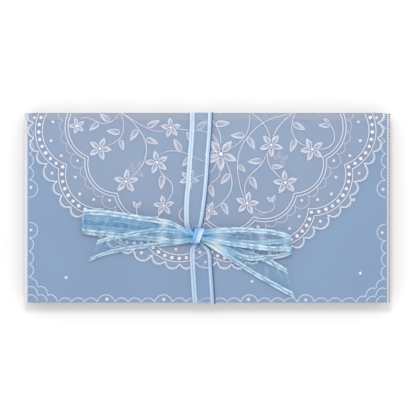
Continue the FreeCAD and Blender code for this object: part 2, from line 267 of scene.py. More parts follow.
def crossing(lobe, following, offset):
    """Where two lobes' circles, widened by offset, cross on the outer side."""
    first, second = np.array(lobe[:2]), np.array(following[:2])
    r1, r2 = lobe[2] + offset, following[2] + offset
    gap = second - first
    distance = np.linalg.norm(gap)
    along = (distance ** 2 + r1 ** 2 - r2 ** 2) / (2 * distance)
    across = math.sqrt(r1 ** 2 - along ** 2)
    unit = gap / distance
    return first + along * unit + across * np.array([-unit[1], unit[0]])


def mirrored(lobes):
    return (-lobes[-1][0],) + tuple(lobes[-1][1:])


def corners(lobes, offset):
    return [crossing(a, b, offset) for a, b in zip(lobes, lobes[1:] + [mirrored(lobes)])]


def both_sides(half):
    """A line given from the hinge edge to the middle on the +u side, made whole, in x and y."""
    left = half * [-1, 1] + [FLAP_MIDDLE, 0]
    right = half + [FLAP_MIDDLE, 0]
    return np.vstack([left, right[::-1][1:]])


def lobed_line(lobes, offset, top=None):
    """A line that follows the lobes at a distance from their circles."""
    top = HINGE_Y if top is None else top
    ends = corners(lobes, offset)
    pieces = []
    start = None
    for lobe, end in zip(lobes, ends):
        centre, radius = np.array(lobe[:2]), lobe[2] + offset
        if start is None:
            a0 = math.asin((top - centre[1]) / radius)
        else:
            a0 = math.atan2(*(start - centre)[::-1])
        a1 = math.atan2(*(end - centre)[::-1])
        swept = np.linspace(a0, a1, max(6, int(abs(a1 - a0) * radius / 0.6)))
        pieces.append(centre + radius * np.stack([np.cos(swept), np.sin(swept)], 1))
        start = end
    return both_sides(np.vstack(pieces))


def corner_tip(lobes, index, reach):
    """The point straight out from a corner between two lobes."""
    chain = [np.array(lobe[:2]) for lobe in lobes] + [np.array(mirrored(lobes)[:2])]
    corner = corners(lobes, 0)[index]
    middle = (chain[index] + chain[index + 1]) / 2
    away = corner - middle
    return corner + away / np.linalg.norm(away) * reach


def scalloped_line(lobes, cusp, bulge, corner, top, step=0.5):
    """Small scallops along each lobe, with a bigger one at each corner."""
    top_u, bulge_u, bulge_y = top
    start, through = (top_u, HINGE_Y), (bulge_u, bulge_y)
    pieces = []
    for i, (cu, cy, radius, first, turn) in enumerate(lobes):
        here = polar((cu, cy), radius + cusp, first)
        pieces.append(arc_through(start, through, here, step)[:-1])
        for n in range(SCALLOPS):
            middle = polar((cu, cy), radius + bulge, first + turn * (n + 0.5))
            end = polar((cu, cy), radius + cusp, first + turn * (n + 1))
            pieces.append(arc_through(here, middle, end, step)[:-1])
            here = end
        start, through = here, corner_tip(lobes, i, corner)
    last = arc_through(start, through, (-start[0], start[1]), step)
    half = np.vstack(pieces + [last[:len(last) // 2 + 1]])
    half[-1][0] = 0.0
    return both_sides(half)


def with_picots(line, pitch, depth):
    """The line with a row of small rounded teeth on its outer side."""
    length = distance_along(line)
    count = int(round(length[-1] / pitch)) * TOOTH_SAMPLES
    where = np.linspace(0, length[-1], count + 1)
    fine = np.stack([np.interp(where, length, line[:, k]) for k in (0, 1)], 1)
    outward = right_of(unit_rows(np.gradient(fine, axis=0)))
    tooth = np.abs(np.sin(np.pi * np.arange(count + 1) / TOOTH_SAMPLES)) ** 1.1
    fade = np.minimum(1, np.minimum(where, length[-1] - where) / 1.5)
    return fine + outward * (depth * (tooth - 1) * fade)[:, None]


def picot_points(line, pitch, reach):
    """Foot and tip of each tooth that with_picots makes."""
    length = distance_along(line)
    count = int(round(length[-1] / pitch))
    where = (np.arange(count) + 0.5) * length[-1] / count
    tips, ahead, behind = (np.stack([np.interp(where + d, length, line[:, k]) for k in (0, 1)], 1)
                           for d in (0.0, 0.2, -0.2))
    outward = right_of(unit_rows(ahead - behind))
    return list(zip(tips - outward * reach, tips - outward * 0.08))


def flap_lift(x, y):
    """How far the parchment flap stands off the lid, away from the ribbon that holds it down."""
    away = np.clip((HINGE_Y - y) / 90.0, 0, 1)
    held = smooth_step(np.abs(x + 5.0) / 55.0)
    right = smooth_step((x - 5.0) / 60.0)
    return away ** 1.2 * (0.12 + 0.5 * held + 0.5 * right * held)


def at_level(line, level):
    """The line's x and y with a level, or a level for each point."""
    line = np.asarray(line, float)
    return np.column_stack([line[:, :2], np.zeros(len(line)) + level])


def on_flap(line, above=0.0):
    line = np.asarray(line, float)
    return at_level(line, FLAP_TOP + flap_lift(line[:, 0], line[:, 1]) + above)


def on_overlay(line, above=0.0):
    return at_level(line, OVERLAY_TOP + above)


# ---- mesh helpers -----------------------------------------------------------------------------------
def add_object(name, data):
    made = bpy.data.objects.new(name, data)
    bpy.context.collection.objects.link(made)
    return made


def make_object(name, vertices, faces, material, smooth=True, uv=None, values=None):
    """A mesh object from points in millimetres, with optional per-point uv and named values."""
    mesh = bpy.data.meshes.new(name)
    mesh.from_pydata((np.asarray(vertices, float) * MM).tolist(), [], [list(f) for f in faces])
    mesh.update()
    if uv is not None:
        layer = mesh.uv_layers.new(name="Ribbon")
        index = np.zeros(len(mesh.loops), int)
        mesh.loops.foreach_get("vertex_index", index)
        layer.data.foreach_set("uv", np.asarray(uv, np.float32)[index].ravel())
    for key, value in (values or {}).items():
        attribute = mesh.attributes.new(key, "FLOAT", "POINT")
        attribute.data.foreach_set("value", np.asarray(value, np.float32))
    mesh.polygons.foreach_set("use_smooth", [smooth] * len(mesh.polygons))
    mesh.materials.append(material)
    return add_object(name, mesh)


def grid_faces(rows, columns, first=0, wrap=False):
    """Quads over a grid of points numbered row by row."""
    faces = []
    for i in range(rows if wrap else rows - 1):
        following = (i + 1) % rows
        for j in range(columns - 1):
            faces.append((first + i * columns + j, first + following * columns + j,
                          first + following * columns + j + 1, first + i * columns + j + 1))
    return faces


def ring_faces(rings, count, first=0):
    """Quads between closed rings of points, each with count points."""
    faces = []
    for r in range(rings - 1):
        for k in range(count):
            a, b = first + r * count + k, first + r * count + (k + 1) % count
            faces.append((a, b, b + count, a + count))
    return faces


class Relief:
    """Raised embossing, gathered into one mesh. white is how strongly the parchment is worked."""

    ACROSS = np.array([-1.0, -0.6, -0.2, 0.2, 0.6, 1.0])

    def __init__(self):
        self.vertices, self.faces, self.white, self.pink = [], [], [], []

    def add(self, points, faces, white, pink):
        first = len(self.vertices)
        self.vertices.extend(points)
        self.faces.extend([tuple(first + k for k in f) for f in faces])
        self.white.extend(white)
        self.pink.extend([pink] * len(points))

    def bead(self, line, width=0.5, height=0.16, white=0.9, pink=0.0, closed=False, taper=0.0):
        """A raised line along points in space."""
        line = np.asarray(line, float)
        if closed:
            ahead, behind = np.roll(line, -1, 0), np.roll(line, 1, 0)
        else:
            ahead, behind = np.vstack([line[1:], line[-1:]]), np.vstack([line[:1], line[:-1]])
        side = right_of(unit_rows((ahead - behind)[:, :2]))
        share = np.linspace(0, 1, len(line))
        narrow = np.ones(len(line))
        if taper:
            narrow = 1 - taper * np.abs(2 * share - 1) ** 3
        profile = np.sqrt(1 - self.ACROSS ** 2)
        points, whites = [], []
        for p, s, n in zip(line, side, narrow):
            for a, h in zip(self.ACROSS, profile):
                points.append((p[0] + s[0] * a * width / 2 * n, p[1] + s[1] * a * width / 2 * n,
                               p[2] + height * h * n))
                whites.append(white * (0.25 + 0.75 * h))
        self.add(points, grid_faces(len(line), len(self.ACROSS), wrap=closed), whites, pink)

    def blade(self, base, tip, half_width, surface, fill=0.42, rim=1.0, pointed=0.62):
        """A petal or leaf: a shallow pillow with a raised outline."""
        base, tip = np.array(base, float), np.array(tip, float)
        along = tip - base
        length = np.linalg.norm(along)
        unit = along / length
        side = np.array([-unit[1], unit[0]])
        rows = max(7, int(length / 0.6))
        t = np.linspace(0, 1, rows)
        width = half_width * np.sin(np.pi * t ** pointed) ** 0.85
        across = np.linspace(-1, 1, 9)
        flat, rises, whites = [], [], []
        for ti, wi in zip(t, width):
            for a in across:
                flat.append(base + unit * length * ti + side * wi * a)
                edge = abs(a) ** 4
                rises.append(0.03 + 0.09 * edge)
                slit = math.exp(-(a / 0.3) ** 2) * (1 - ti)
                light_side = 0.5 + 0.5 * math.tanh(2.5 * a)
                shade = 0.35 + 0.5 * light_side + 0.75 * ti - 0.7 * slit
                whites.append(fill * shade + (rim - fill) * edge * 0.4)
        lifted = surface(np.array(flat))
        lifted[:, 2] += rises
        self.add([tuple(p) for p in lifted], grid_faces(rows, len(across)), whites, 0.0)
        outline = [base + unit * length * ti + side * wi for ti, wi in zip(t, width)]
        outline += [base + unit * length * ti - side * wi
                    for ti, wi in zip(t[::-1][1:-1], width[::-1][1:-1])]
        self.bead(surface(np.array(outline), 0.03), 0.56, 0.18, rim, closed=True)

    def point(self, root, tip, width, surface, white=1.0):
        """A small three-cornered point."""
        along = tip - root
        side = np.array([along[1], -along[0]]) / np.linalg.norm(along) * width / 2
        flat = np.array([root - side, root + side, tip + side * 0.3, tip - side * 0.3])
        self.add([tuple(p) for p in surface(flat, 0.06)], [(0, 1, 2, 3)], [white] * 4, 0.0)

    def dot(self, x, y, radius, surface, height=0.35, white=1.0):
        """A small raised dot."""
        rings = ((1.0, 0.0), (0.85, 0.55), (0.5, 0.9), (0.0, 1.0))
        count = 12
        base = surface(np.array([[x, y]]))[0]
        points = []
        for share, rise in rings:
            for k in range(count):
                angle = 2 * math.pi * k / count
                points.append((x + radius * share * math.cos(angle), y + radius * share * math.sin(angle),
                               base[2] + height * rise))
        self.add(points, ring_faces(len(rings), count), [white] * len(points), 0.0)

    def build(self, name, material):
        return make_object(name, self.vertices, self.faces, material,
                           values={"white": self.white, "pink": self.pink})


def plate(name, outline, surface, thickness, material, spacing=4.0):
    """A thin sheet with the given closed outline, whose top follows surface(points)."""
    outline = np.asarray(outline, float)
    low, high = outline.min(0), outline.max(0)
    edges = [(k, (k + 1) % len(outline)) for k in range(len(outline))]
    inside = []
    for x in np.arange(low[0] + spacing / 2, high[0], spacing):
        for y in np.arange(low[1] + spacing / 2, high[1], spacing):
            inside.append((x, y))
    inside = np.array(inside)
    nearest = np.array([np.min(np.hypot(outline[:, 0] - x, outline[:, 1] - y)) for x, y in inside])
    inside = inside[nearest > spacing * 0.35]
    points = [Vector(p) for p in np.vstack([outline, inside])]
    flat, _, triangles, _, _, _ = delaunay_2d_cdt(points, edges, [], 1, 1e-5)
    flat = np.array([tuple(p) for p in flat])
    top = surface(flat)
    bottom = top - [0, 0, thickness]
    count = len(flat)
    uses = {}
    for tri in triangles:
        for a, b in zip(tri, tri[1:] + tri[:1]):
            uses[(a, b)] = True
    faces = [tuple(tri) for tri in triangles]
    faces += [tuple(k + count for k in reversed(tri)) for tri in triangles]
    faces += [(b, a, a + count, b + count) for a, b in uses if (b, a) not in uses]
    return make_object(name, np.vstack([top, bottom]), faces, material, smooth=False)


def folded_strip(profile, x_range, thickness, columns):
    """Points and faces of a thin closed band along X with the given (y, z) centreline."""
    profile = np.asarray(profile, float)
    normal = -right_of(unit_rows(np.gradient(profile, axis=0)))
    loop = np.vstack([profile + normal * thickness / 2, (profile - normal * thickness / 2)[::-1]])
    xs = np.linspace(x_range[0], x_range[1], columns)
    points = [(x, y, z) for y, z in loop for x in xs]
    faces = grid_faces(len(loop), columns, wrap=True)
    for end in (0, columns - 1):
        ring = [k * columns + end for k in range(len(loop))]
        half = len(profile)
        for k in range(half - 1):
            quad = (ring[k], ring[k + 1], ring[2 * half - 2 - k], ring[2 * half - 1 - k])
            faces.append(quad if end == 0 else quad[::-1])
    return points, faces


def join(target, *others):
    """Joins other objects into target and keeps target's name and material slots."""
    bpy.ops.object.select_all(action="DESELECT")
    for o in (target, *others):
        o.select_set(True)
    bpy.context.view_layer.objects.active = target
    bpy.ops.object.join()
    return target


def panel(node, bevel, material):
    """A cut card panel the size of a CAD node, with softened edges."""
    low, high = node_box(node)
    mesh = bpy.data.meshes.new(node + "_card")
    bm = bmesh.new()
    bmesh.ops.create_cube(bm, size=1.0)
    for v in bm.verts:
        v.co = Vector([(low[k] + high[k]) / 2 + v.co[k] * (high[k] - low[k]) for k in range(3)]) * MM
    bmesh.ops.bevel(bm, geom=bm.edges[:], offset=bevel * MM, segments=3, profile=0.6, affect="EDGES")
    bm.to_mesh(mesh)
    bm.free()
    mesh.polygons.foreach_set("use_smooth", [True] * len(mesh.polygons))
    mesh.materials.append(material)
    made = add_object(node + "_card", mesh)
    weighted = made.modifiers.new("even shading", "WEIGHTED_NORMAL")
    weighted.keep_sharp = True
    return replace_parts(made, node)


def islands(node):
    """Centre, radius and lowest level of each separate solid in a CAD node."""
    bm = bmesh.new()
    bm.from_mesh(bpy.data.objects[node].data)
    bmesh.ops.remove_doubles(bm, verts=bm.verts[:], dist=1e-6)
    seen, found = set(), []
    for start in bm.verts:
        if start in seen:
            continue
        group, queue = [], [start]
        seen.add(start)
        while queue:
            v = queue.pop()
            group.append(np.array(v.co) / MM)
            for e in v.link_edges:
                other = e.other_vert(v)
                if other not in seen:
                    seen.add(other)
                    queue.append(other)
        group = np.array(group)
        low, high = group.min(0), group.max(0)
        found.append(((low[0] + high[0]) / 2, (low[1] + high[1]) / 2, (high[0] - low[0]) / 2, low[2]))
    bm.free()
    return found


def pearl_drops(name, node, height, surface, material, scale=1.0, spikes=0.0):
    """Drops of pearl paint in the places the node gives. Round ones are slightly sunk at the middle,
    and star-shaped ones have five short points pulled out at the foot."""
    profile = ((1.0, 0.0), (1.03, 0.22), (0.95, 0.52), (0.78, 0.8), (0.5, 0.97), (0.22, 0.98), (0.0, 0.86))
    if spikes:
        profile = ((1.0, 0.0), (0.98, 0.16), (0.86, 0.5), (0.66, 0.82), (0.35, 0.98), (0.0, 1.0))
    count = 30
    points, faces = [], []
    for n, (x, y, radius, _) in enumerate(islands(node)):
        first = len(points)
        size = radius * scale * (1 + 0.05 * math.sin(5.3 * n))
        floor = surface(np.array([[x, y]]))[0][2]
        for share, rise in profile:
            for k in range(count):
                angle = 2 * math.pi * k / count
                point = abs(math.cos(2.5 * (angle + 0.4 * n))) ** 5
                wobble = 1 + 0.03 * math.sin(3 * angle + n) + spikes * point * max(0.0, 1 - 1.6 * rise)
                points.append((x + size * share * wobble * math.cos(angle),
                               y + size * share * wobble * math.sin(angle), floor + height * rise))
        faces += ring_faces(len(profile), count, first)
        faces.append(tuple(first + k for k in reversed(range(count))))
    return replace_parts(make_object(name, points, faces, material), node)


def ribbon(name, edge_a, edge_b, material, pleats=3, crown=0.0, ripple=0.0, wrinkle=0.0, step=0.6, columns=45,
           seed=0.0, shown=1.0, slack=1.0, crests_with_painted_highlight=(), crest_level=14.7):
    """A strip of ribbon between two edges given point by point. Where it is narrowed its satin edges
    stay flat, and the sheer middle falls into pleats and fine wrinkles."""
    a, b = np.array(edge_a, float), np.array(edge_b, float)
    length = np.linalg.norm(np.diff((a + b) / 2, axis=0), axis=1).sum()
    rows = max(8, int(length / step))
    a, b = even_spline(a, rows), even_spline(b, rows)
    centre = (a + b) / 2
    along = unit_rows(np.gradient(centre, axis=0))
    travelled = distance_along(centre)
    t = np.linspace(0, 1, columns)
    both_edges = shown == 1.0
    satin = SATIN_WIDTH / RIBBON_WIDTH if both_edges else HIDDEN_EDGE
    inner = np.clip((t - satin) / (1 - 2 * satin), 0, 1)
    points, uv, tight, painted_crest_highlight, steep = [], [], [], [], []
    for i in range(rows):
        across = b[i] - a[i]
        width = np.linalg.norm(across)
        normal = np.cross(along[i], across)
        normal /= max(np.linalg.norm(normal), 1e-9)
        gathered = max(0.0, RIBBON_WIDTH / max(width, 0.1) - 1)
        flat_edge = satin
        if both_edges:
            narrowest = RIBBON_WIDTH * 0.1
            flat_edge = max(satin, min(WIDEST_EDGE, SATIN_WIDTH / max(width, narrowest)))
        place = np.interp(t, (0, satin, 1 - satin, 1), (0, flat_edge, 1 - flat_edge, 1))
        middle = width * (1 - 2 * flat_edge)
        loose = max(0.0, RIBBON_WIDTH * (1 - 2 * satin) / max(middle, 0.1) - 1)
        depth = slack * min(DEEPEST_PLEAT, middle / (math.pi * pleats) * math.sqrt(loose) * (1 + 0.3 * loose))
        s = travelled[i]
        phase = seed + 0.05 * s + 0.6 * math.sin(0.11 * s + seed)
        fold = np.sin(2 * math.pi * pleats * inner + phase) * np.sin(math.pi * inner) ** 0.5
        wave = ripple * np.sin(0.33 * s + 4.0 * t + seed) * np.sin(0.12 * s + 2 * seed)
        fine = np.sin(1.7 * s + 6.0 * t + seed) * np.sin(0.9 * s - 9.0 * t + 2 * seed)
        fine += 0.6 * np.sin(2.9 * s - 4.0 * t + 3 * seed)
        rise = crown * 4 * t * (1 - t) + depth * fold + wave + wrinkle * min(1.0, gathered) * fine
        # each crest raises a low ridge across the ribbon and also carries a painted highlight into the
        # material
        ridge = sum(strength * math.exp(-((centre[i][0] - x) / half) ** 2) for x, half, strength in crests_with_painted_highlight)
        ridge *= smooth_step(centre[i][2] - crest_level)
        rise += 0.3 * ridge * np.sin(math.pi * t)
        painted_crest_highlight.extend([ridge] * columns)
        slope = np.gradient(rise) / np.maximum(np.gradient(place) * width, 0.02)
        steep.extend((1 - (1 + slope ** 2) ** -0.35) ** 1.5)
        for k in range(columns):
            points.append(a[i] + across * place[k] + normal * rise[k])
            uv.append((t[k] * shown, s / RIBBON_WIDTH))
        tight.extend([min(1.0, max(0.0, gathered - 0.08) / 0.65)] * columns)
    made = make_object(name, points, grid_faces(rows, columns), material, uv=uv,
                       values={"tight": tight, "painted_crest_highlight": painted_crest_highlight, "steep": steep})
    return made, travelled[-1]


# ---- materials --------------------------------------------------------------------------------------
def srgb(r, g, b, alpha=1.0):
    """A display colour as linear light."""
    def linear(value):
        c = value / 255
        return c / 12.92 if c <= 0.04045 else ((c + 0.055) / 1.055) ** 2.4
    return (linear(r), linear(g), linear(b), alpha)


class Shader:
    """A Principled material with short ways to add nodes."""

    def __init__(self, name, **constants):
        self.material = bpy.data.materials.new(name)
        self.material.use_nodes = True
        self.tree = self.material.node_tree
        self.bsdf = self.tree.nodes["Principled BSDF"]
        for key, value in constants.items():
            self.bsdf.inputs[key.replace("_", " ")].default_value = value
        self.place = self.node("ShaderNodeTexCoord").outputs["Object"]

    def node(self, kind, settings=None, **inputs):
        """A new node. Its inputs go by name, or by place as i0, i1 and so on."""
        made = self.tree.nodes.new(kind)
        for key, value in (settings or {}).items():
            setattr(made, key, value)
        for key, value in inputs.items():
            by_place = key[0] == "i" and key[1:].isdigit()
            self.feed(value, made.inputs[int(key[1:]) if by_place else key.replace("_", " ")])
        return made

    def feed(self, value, socket):
        if isinstance(value, bpy.types.NodeSocket):
            self.tree.links.new(value, socket)
        else:
            socket.default_value = value

    def set(self, **inputs):
        for key, value in inputs.items():
            self.feed(value, self.bsdf.inputs[key.replace("_", " ")])

    def noise(self, scale, detail=3.0, roughness=0.55, vector=None, stretch=None):
        vector = self.place if vector is None else vector
        if stretch is not None:
            vector = self.node("ShaderNodeMapping", Vector=vector, Scale=stretch).outputs["Vector"]
        made = self.node("ShaderNodeTexNoise", Vector=vector, Scale=scale, Detail=detail, Roughness=roughness)
        return made.outputs["Fac"]

    def math(self, operation, a, b=0.0):
        return self.node("ShaderNodeMath", {"operation": operation}, i0=a, i1=b).outputs[0]

    def plus(self, a, b):
        return self.math("ADD", a, b)

    def minus(self, a, b):
        return self.math("SUBTRACT", a, b)

    def times(self, a, b):
        return self.math("MULTIPLY", a, b)

    def shared(self, a, b, share):
        """Two values mixed, with that share of the first."""
        return self.plus(self.times(a, share), self.times(b, 1 - share))

    def span(self, value, low, high, to_low=0.0, to_high=1.0, kind="LINEAR"):
        made = self.node("ShaderNodeMapRange", {"interpolation_type": kind}, Value=value)
        for key, number in (("From Min", low), ("From Max", high), ("To Min", to_low), ("To Max", to_high)):
            made.inputs[key].default_value = number
        return made.outputs["Result"]

    def mix(self, factor, a, b):
        made = self.node("ShaderNodeMix", {"data_type": "RGBA"})
        colour_in = [s for s in made.inputs if s.type == "RGBA"]
        self.feed(factor, made.inputs[0])
        self.feed(a, colour_in[0])
        self.feed(b, colour_in[1])
        return [s for s in made.outputs if s.type == "RGBA"][0]

    def bump(self, height, strength, distance):
        made = self.node("ShaderNodeBump", Strength=strength, Distance=distance, Height=height)
        return made.outputs["Normal"]

    def axis(self, letter):
        return self.node("ShaderNodeSeparateXYZ", Vector=self.place).outputs[letter]

    def value(self, name):
        return self.node("ShaderNodeAttribute", {"attribute_name": name}).outputs["Fac"]


def card_stock(name, light, dark, roughness=0.42):
    """Pearlescent card: fine fibre mottling, a soft sheen and a slightly uneven surface."""
    s = Shader(name, Coat_Weight=0.18, Coat_Roughness=0.32, Sheen_Weight=0.12, Sheen_Roughness=0.4)
    fibre = s.noise(2600.0, 4.0, 0.65, stretch=(1.0, 0.35, 1.0))
    cloud = s.noise(28.0, 3.0)
    grain = s.noise(900.0, 2.0)
    shade = s.shared(fibre, cloud, 0.35)
    s.set(Base_Color=s.mix(s.span(shade, 0.3, 0.7), dark, light))
    s.set(Roughness=s.span(grain, 0.3, 0.7, roughness - 0.06, roughness + 0.08))
    s.set(Normal=s.bump(s.plus(fibre, s.times(grain, 0.6)), 0.25, 0.00004))
    return s.material


def backed_parchment(name, light, dark, edge_light, edge_dark, board_half):
    """Parchment lying on the blue board: the board's colour shows through it, and the picot edges
    that stand out past the board are pale grey, the parchment's colour with the shade of the floor below
    it painted in. Along the right edge, dark dots between the teeth are painted shadow."""
    s = Shader(name, Coat_Weight=0.08, Coat_Roughness=0.4, Sheen_Weight=0.1)
    fibre = s.noise(1900.0, 4.0, 0.6, stretch=(1.0, 0.5, 1.0))
    cloud = s.noise(22.0, 3.0)
    shade = s.shared(fibre, cloud, 0.3)
    over_board = s.mix(s.span(shade, 0.3, 0.7), dark, light)
    beyond = s.mix(s.span(fibre, 0.3, 0.7), edge_dark, edge_light)
    outside = s.span(s.math("ABSOLUTE", s.axis("X")), board_half + 0.0001, board_half + 0.0006)
    from_front = s.minus(s.axis("Y"), FRONT_Y * MM)
    # painted shadow: dark dots at the picot pitch, along the right edge only, for the shade between the teeth
    picot_shadow_wave = s.math("COSINE", s.times(from_front, 2 * math.pi / (SIDE_PICOT_PITCH * MM)))
    row = s.span(s.axis("X"), (OVERLAY_HIGH[0] - 1.35) * MM, (OVERLAY_HIGH[0] - 1.2) * MM)
    painted_picot_shadow = s.times(s.span(picot_shadow_wave, -0.2, 0.2), row)
    beyond = s.mix(s.times(painted_picot_shadow, 0.95), beyond, srgb(46, 54, 64))
    s.set(Base_Color=s.mix(outside, over_board, beyond))
    s.set(Roughness=s.span(fibre, 0.3, 0.7, 0.42, 0.56))
    s.set(Normal=s.bump(fibre, 0.2, 0.00003))
    return s.material


def free_parchment(name, veil, fold_veil, cover, fold_cover):
    """Translucent parchment: a thin grey-white veil, denser where it is creased at the fold."""
    s = Shader(name, Coat_Weight=0.05, Coat_Roughness=0.4, Specular_IOR_Level=0.35)
    fibre = s.noise(1700.0, 4.0, 0.6, stretch=(1.0, 0.5, 1.0))
    cloud = s.noise(16.0, 3.0)
    fold = s.span(s.axis("Y"), (HINGE_Y - 5.0) * MM, (HINGE_Y - 2.0) * MM, kind="SMOOTHSTEP")
    mottled = s.times(s.span(cloud, 0.3, 0.7, 0.88, 1.12), s.span(fibre, 0.3, 0.7, 0.9, 1.1))
    s.set(Base_Color=s.mix(fold, veil, fold_veil))
    s.set(Alpha=s.times(s.span(fold, 0.0, 1.0, cover, fold_cover), mottled))
    s.set(Roughness=s.span(fibre, 0.3, 0.7, 0.4, 0.55))
    s.set(Normal=s.bump(fibre, 0.15, 0.00003))
    return s.material


def embossing(name, strength=1.0, white=(214, 219, 236), pink=(208, 190, 216)):
    """Worked parchment: where it is stretched it turns white and stops being clear."""
    s = Shader(name, Roughness=0.5, Specular_IOR_Level=0.3)
    worked = s.value("white")
    speckle = s.noise(2400.0, 2.0)
    s.set(Base_Color=s.mix(s.value("pink"), srgb(*white), srgb(*pink)))
    speckled = s.span(speckle, 0.25, 0.75, 0.86, 1.06)
    s.set(Alpha=s.times(s.times(worked, strength), speckled))
    return s.material


def pearl_paint(name):
    s = Shader(name, Coat_Weight=0.5, Coat_Roughness=0.18, Subsurface_Weight=0.15, Subsurface_Scale=0.0006)
    cloud = s.noise(1400.0, 2.0)
    s.set(Base_Color=s.mix(s.span(cloud, 0.3, 0.7), srgb(205, 206, 215), srgb(184, 187, 200)))
    s.set(Roughness=s.span(cloud, 0.3, 0.7, 0.25, 0.4))
    return s.material


def organza(name, satin_light, satin_dark, sheer, gathered, cover, satin_cover=0.9, painted_crinkle_highlight=0.0, patchy=0.7,
            lines=1.0, painted_shadow_depth=1.0):
    """Ribbon: two satin edges, each with a thin darker line and small picots on its inner side, and a
    sheer woven middle. Painted light on it: lighter satin patches and crests as painted highlight, lighter
    patches on the sheer as painted highlight, and a dark line along the right edge, fainter along the
    left, as painted shadow."""
    s = Shader(name, Sheen_Weight=0.3, Sheen_Roughness=0.3, Anisotropic=0.5, Specular_IOR_Level=0.5)

    def waves(place, pitch):
        return s.math("SINE", s.times(place, 2 * math.pi * RIBBON_WIDTH / pitch))

    uv = s.node("ShaderNodeUVMap", {"uv_map": "Ribbon"}).outputs["UV"]
    parts = s.node("ShaderNodeSeparateXYZ", Vector=uv)
    across, along = parts.outputs["X"], parts.outputs["Y"]
    from_edge = s.times(s.math("MINIMUM", across, s.minus(1.0, across)), RIBBON_WIDTH)
    picot = waves(along, RIBBON_PICOT_PITCH)
    inner_edge = s.minus(from_edge, s.times(picot, 0.16))
    satin = s.span(inner_edge, SATIN_WIDTH + 0.1, SATIN_WIDTH - 0.1)
    line_place = s.math("ABSOLUTE", s.minus(from_edge, SATIN_WIDTH * 0.52))
    groove = s.span(line_place, 0.6, 0.15)
    warp = waves(across, WARP_PITCH)
    weft = waves(along, WEFT_PITCH)
    threads = s.span(s.plus(warp, s.times(weft, 0.6)), -1.4, 1.4, 0.72, 1.3)
    slub = s.noise(9.0, 3.0, 0.6, vector=uv, stretch=(26.0, 1.2, 1.0))
    # the satin runs from satin_dark to satin_light with the slub, which is real, and with glint patches,
    # which are painted highlight
    glint = s.noise(3.4, 2.0, 0.5, vector=uv, stretch=(2.0, 1.0, 1.0))
    slub_and_glint_highlight = s.times(s.span(slub, 0.2, 0.5), s.span(glint, 0.38, 0.56, patchy, 1.0))
    ribs = s.span(picot, -1.0, 1.0, 0.82, 1.0)
    satin_colour = s.mix(s.times(slub_and_glint_highlight, ribs), satin_dark, satin_light)
    satin_colour = s.mix(s.times(groove, 0.8 * lines), satin_colour, satin_dark)
    # painted highlight: the satin turns to satin_light along the crests
    satin_colour = s.mix(s.times(s.value("painted_crest_highlight"), 0.8), satin_colour, satin_light)
    # painted shadow: a dark blue line inside the ribbon's right edge, and a line half as dark inside its left
    # edge
    right_painted_shadow = s.span(across, 0.932, 0.942, 0.0, painted_shadow_depth)
    left_painted_shadow = s.span(across, 0.022, 0.012, 0.0, painted_shadow_depth * 0.5)
    satin_colour = s.mix(s.plus(right_painted_shadow, left_painted_shadow), satin_colour, srgb(34, 74, 118))
    # painted highlight: noise patches lighten the sheer towards satin_light
    crinkle_highlight_noise = s.noise(4.0, 2.0, 0.5, vector=uv, stretch=(0.45, 0.9, 1.0))
    lit = s.times(s.span(crinkle_highlight_noise, 0.48, 0.7), painted_crinkle_highlight)
    painted_crest_highlight, tight = s.value("painted_crest_highlight"), s.value("tight")
    # painted highlight: the sheer lightens along the crests as well
    lit = s.math("MAXIMUM", lit, s.times(painted_crest_highlight, s.span(slub, 0.25, 0.6, 0.6, 1.0)))
    drawn = s.times(s.times(tight, s.minus(1.0, painted_crest_highlight)), 0.75 * lines)
    sheer_colour = s.mix(lit, s.mix(tight, sheer, gathered), satin_light)
    s.set(Base_Color=s.mix(satin, sheer_colour, s.mix(drawn, satin_colour, gathered)))
    woven = s.span(slub, 0.3, 0.7, cover * 0.8, cover * 1.25)
    thicker = s.plus(s.times(lit, 0.4), s.times(tight, 0.45))
    thicker = s.plus(thicker, s.times(s.value("steep"), 0.55))
    thicker = s.plus(thicker, s.times(painted_crest_highlight, 0.4))
    sheer_cover = s.times(threads, s.plus(woven, thicker))
    extra = s.times(satin, s.minus(satin_cover, sheer_cover))
    s.set(Alpha=s.plus(extra, sheer_cover))
    s.set(Roughness=s.span(satin, 0.0, 1.0, 0.5, 0.34))
    s.set(Normal=s.bump(s.plus(s.times(warp, 0.6), weft), 0.25, 0.00005))
    return s.material


def plain_paper(name, light, dark, roughness=0.6):
    s = Shader(name, Specular_IOR_Level=0.35)
    fibre = s.noise(2300.0, 4.0, 0.65, stretch=(1.0, 0.4, 1.0))
    cloud = s.noise(35.0, 2.0)
    s.set(Base_Color=s.mix(s.span(s.shared(fibre, cloud, 0.5), 0.35, 0.65), dark, light))
    s.set(Roughness=s.span(fibre, 0.3, 0.7, roughness - 0.05, roughness + 0.08))
    s.set(Normal=s.bump(fibre, 0.3, 0.00004))
    return s.material


# ---- pieces -----------------------------------------------------------------------------------------
def tray_pieces(blue, inner_blue, liner):
    for node in ("base_panel", "front_wall", "back_wall", "left_wall", "right_wall"):
        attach(panel(node, 0.22, blue), "tray")
    for side in ("left", "right"):
        for end in ("front", "back"):
            tab = panel("glue_tab_%s_%s" % (end, side), 0.12, inner_blue)
            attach(tab, "tray")
    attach(panel("tray_liner", 0.06, liner), "tray")


